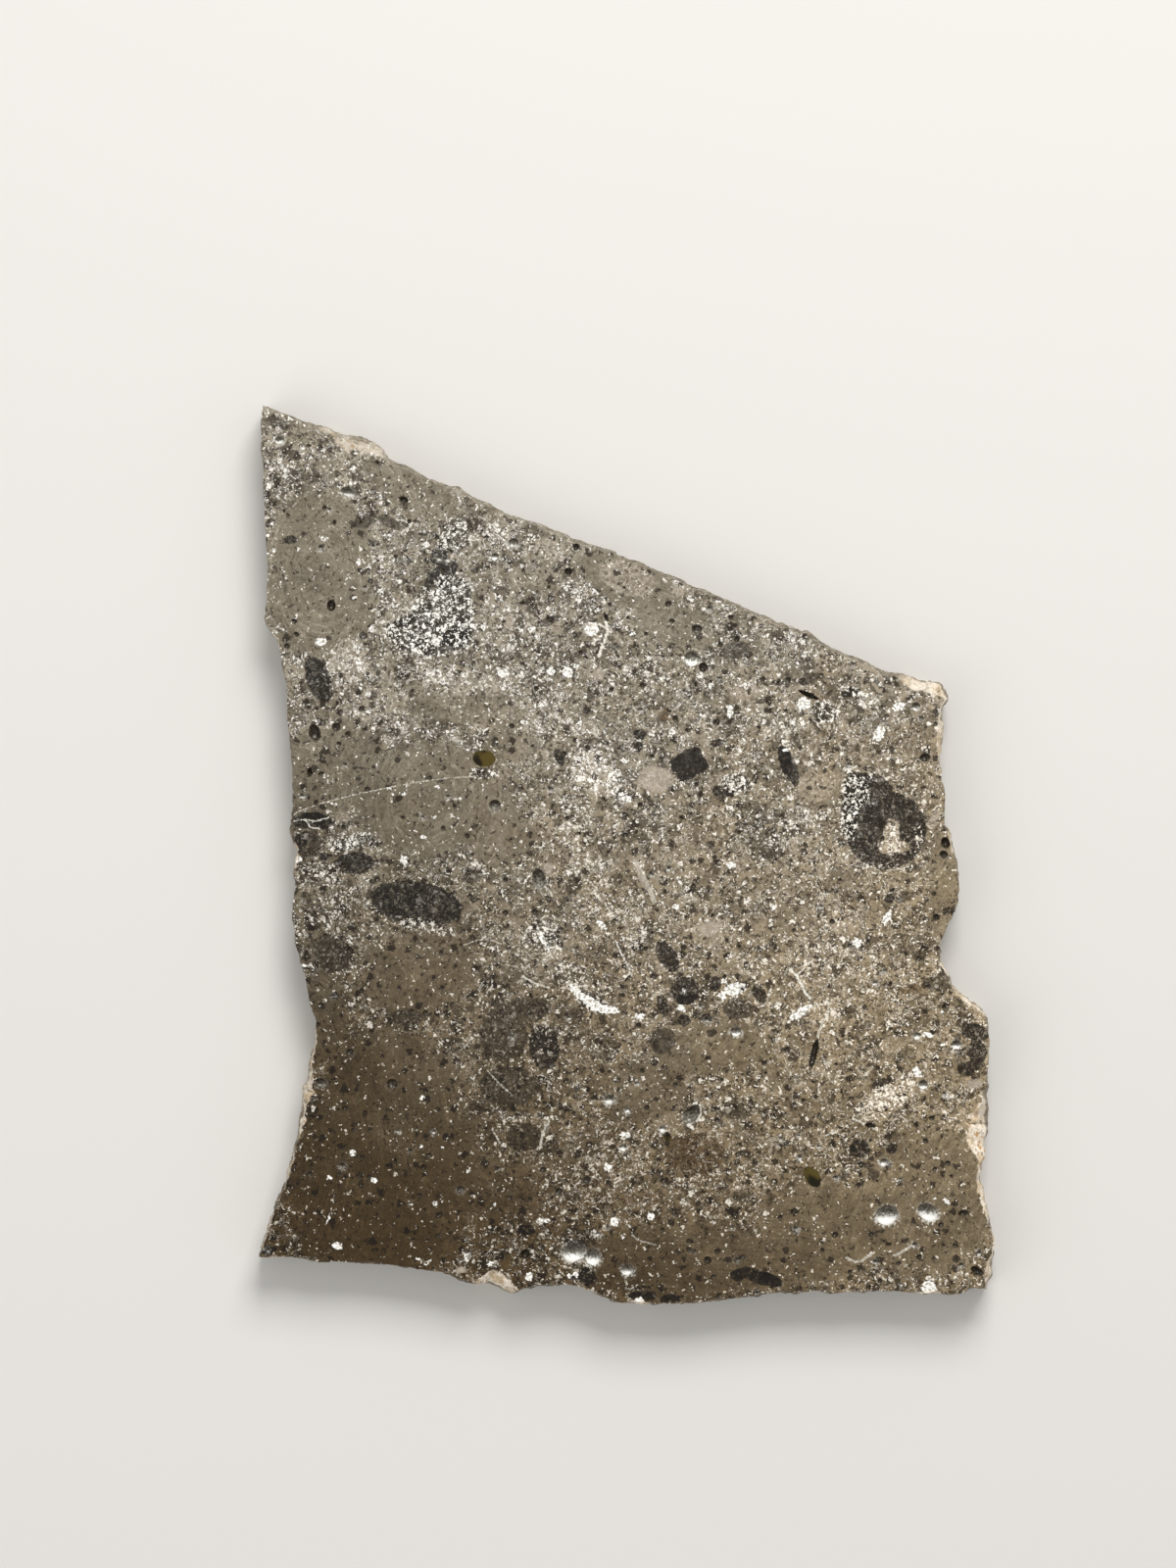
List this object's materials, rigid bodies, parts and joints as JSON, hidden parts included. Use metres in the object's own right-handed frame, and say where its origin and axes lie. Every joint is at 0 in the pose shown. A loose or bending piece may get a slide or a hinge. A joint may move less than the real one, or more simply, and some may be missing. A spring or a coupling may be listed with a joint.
{
  "type": "lunar meteorite slice",
  "caption": "Thin sawn and polished slice of dark lunar breccia with a broken outer edge and open pits, lying flat on its back.",
  "frame": {"origin": "middle of the outline's box, on the sawn underside", "axes": "+Z out of the polished face; +Y along the long side, towards the pointed corner; +X across the face"},
  "size_m": [0.0302, 0.0368, 0.002],
  "materials": {
    "breccia": "sawn and lightly polished grey-brown breccia with dark and white clasts; broken edges left rough"
  },
  "bodies": {
    "root": {"meteorite_slice": "breccia"}
  },
  "joints": []
}
